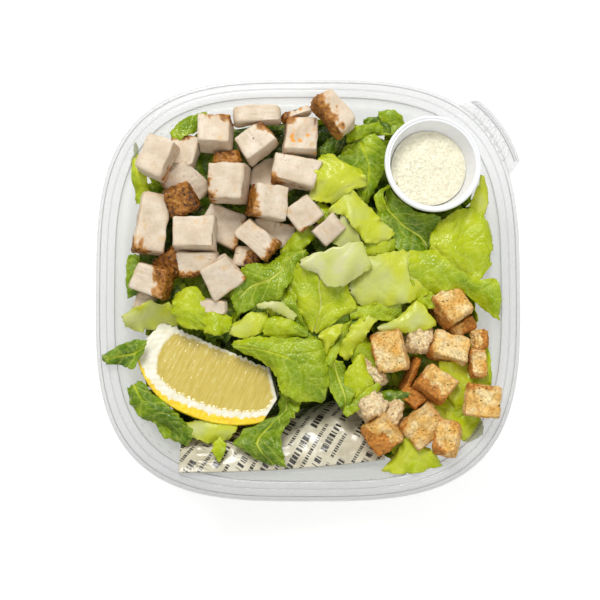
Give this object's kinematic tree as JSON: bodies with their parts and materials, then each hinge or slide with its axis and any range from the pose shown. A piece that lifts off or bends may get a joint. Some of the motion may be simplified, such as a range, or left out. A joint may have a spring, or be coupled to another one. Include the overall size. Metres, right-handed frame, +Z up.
{
  "type": "chicken caesar salad",
  "caption": "Chicken caesar salad in a clear square plastic bowl: romaine, diced grilled chicken, croutons, a lemon wedge, a dressing packet and a small cup of grated parmesan.",
  "frame": {"origin": "on the surface the bowl stands on, under the centre of its outline", "axes": "+Z up; +Y towards the side of the bowl with the chicken and the cup; +X towards the side with the cup and the croutons"},
  "size_m": [0.1916, 0.1908, 0.0627],
  "materials": {
    "clear_plastic": "clear PET, thermoformed, glossy",
    "frosted_plastic": "milky translucent polypropylene",
    "grated_cheese": "fine dry granules of grated parmesan",
    "lemon": "yellow zest, white pith and wet juicy flesh",
    "packet_film": "cream printed film, crinkled, soft sheen",
    "chicken_breast": "pale grilled breast meat, moist, fine grain",
    "browned_chicken": "seared and peppered faces of the meat",
    "toasted_bread": "golden toasted crumb with dried herbs",
    "romaine": "crisp wet chopped romaine leaves"
  },
  "bodies": {
    "root": {"bowl": "clear_plastic", "portion_cup": "frosted_plastic", "parmesan": "grated_cheese", "lemon_wedge": "lemon", "dressing_packet": "packet_film", "chicken_01": "chicken_breast", "chicken_02": "chicken_breast", "chicken_03": "chicken_breast", "chicken_04": "chicken_breast", "chicken_05": "chicken_breast", "chicken_06": "chicken_breast", "chicken_07": "chicken_breast", "chicken_08": "browned_chicken", "chicken_09": "chicken_breast", "chicken_10": "chicken_breast", "chicken_11": "chicken_breast", "chicken_12": "chicken_breast", "chicken_13": "chicken_breast", "chicken_14": "browned_chicken", "chicken_15": "chicken_breast", "chicken_16": "chicken_breast", "chicken_17": "chicken_breast", "chicken_18": "chicken_breast", "chicken_19": "browned_chicken", "chicken_20": "chicken_breast", "chicken_21": "chicken_breast", "chicken_22": "chicken_breast", "chicken_23": "chicken_breast", "chicken_24": "chicken_breast", "chicken_25": "chicken_breast", "chicken_26": "chicken_breast", "chicken_27": "chicken_breast", "chicken_28": "browned_chicken", "chicken_29": "browned_chicken", "crouton_01": "toasted_bread", "crouton_02": "toasted_bread", "crouton_03": "toasted_bread", "crouton_04": "toasted_bread", "crouton_05": "toasted_bread", "crouton_06": "toasted_bread", "crouton_07": "toasted_bread", "crouton_08": "toasted_bread", "crouton_09": "toasted_bread", "crouton_10": "toasted_bread", "crouton_11": "toasted_bread", "crouton_12": "toasted_bread", "crouton_13": "toasted_bread", "crouton_14": "toasted_bread", "crouton_15": "toasted_bread", "crouton_16": "toasted_bread", "crouton_17": "toasted_bread", "lettuce": "romaine"}
  },
  "joints": []
}
